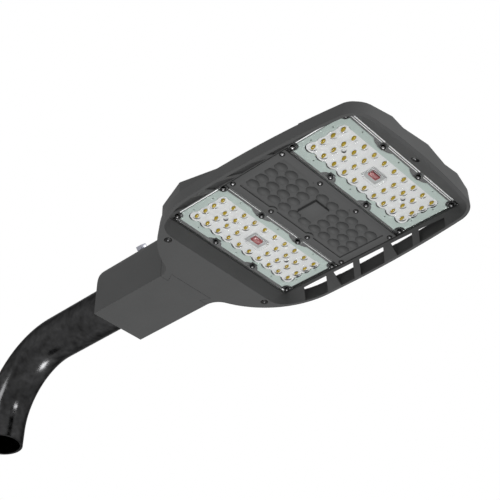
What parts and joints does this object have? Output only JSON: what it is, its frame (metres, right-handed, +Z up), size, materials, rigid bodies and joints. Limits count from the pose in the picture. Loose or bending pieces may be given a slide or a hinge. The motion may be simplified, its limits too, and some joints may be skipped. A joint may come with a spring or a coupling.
{
  "type": "led street light",
  "caption": "Flat street light head with lens-covered LED modules, a bossed blank cover and a windowed rim, held in a clamp socket on a bent outreach pipe.",
  "frame": {"origin": "centre of the arm's lower end, where the pipe is held", "axes": "+Z up along the arm's upright leg, +X from the arm to the tip of the head, +Y across the head"},
  "size_m": [0.7489, 0.2532, 0.1733],
  "materials": {
    "cast_grey": "satin powder coat",
    "pipe_black": "gloss",
    "zinc": "zinc plated",
    "screw_black": "gloss black oxide",
    "screw_steel": "bright",
    "lens_clear": "clear",
    "seal_pale": "matte",
    "seal_black": "matte",
    "board_white": "white solder mask",
    "led_yellow": "phosphor",
    "plug_red": "moulded",
    "driver_case": "anodised",
    "plastic_black": "moulded",
    "plastic_cream": "moulded"
  },
  "bodies": {
    "root": {"outreach_arm": "pipe_black", "mounting_socket": "cast_grey", "clamp_bolts": "zinc", "socket_screws": "screw_steel", "cable_gland": "plastic_black", "lower_frame": "cast_grey", "frame_screws": "screw_black", "upper_housing": "cast_grey", "bay_gasket": "seal_black", "led_driver": "driver_case", "driver_screws": "screw_steel", "surge_protector": "plastic_black", "terminal_block": "plastic_cream", "rear_led_board": "board_white", "rear_led_chips": "led_yellow", "rear_board_connector": "plug_red", "rear_board_screws": "screw_black", "rear_lens_gasket": "seal_pale", "rear_lens_plate": "lens_clear", "rear_module_screws": "screw_black", "front_led_board": "board_white", "front_led_chips": "led_yellow", "front_board_connector": "plug_red", "front_board_screws": "screw_black", "front_lens_gasket": "seal_pale", "front_lens_plate": "lens_clear", "front_module_screws": "screw_black", "blank_cover": "cast_grey", "cover_gasket": "seal_pale", "cover_screws": "screw_black"}
  },
  "joints": []
}
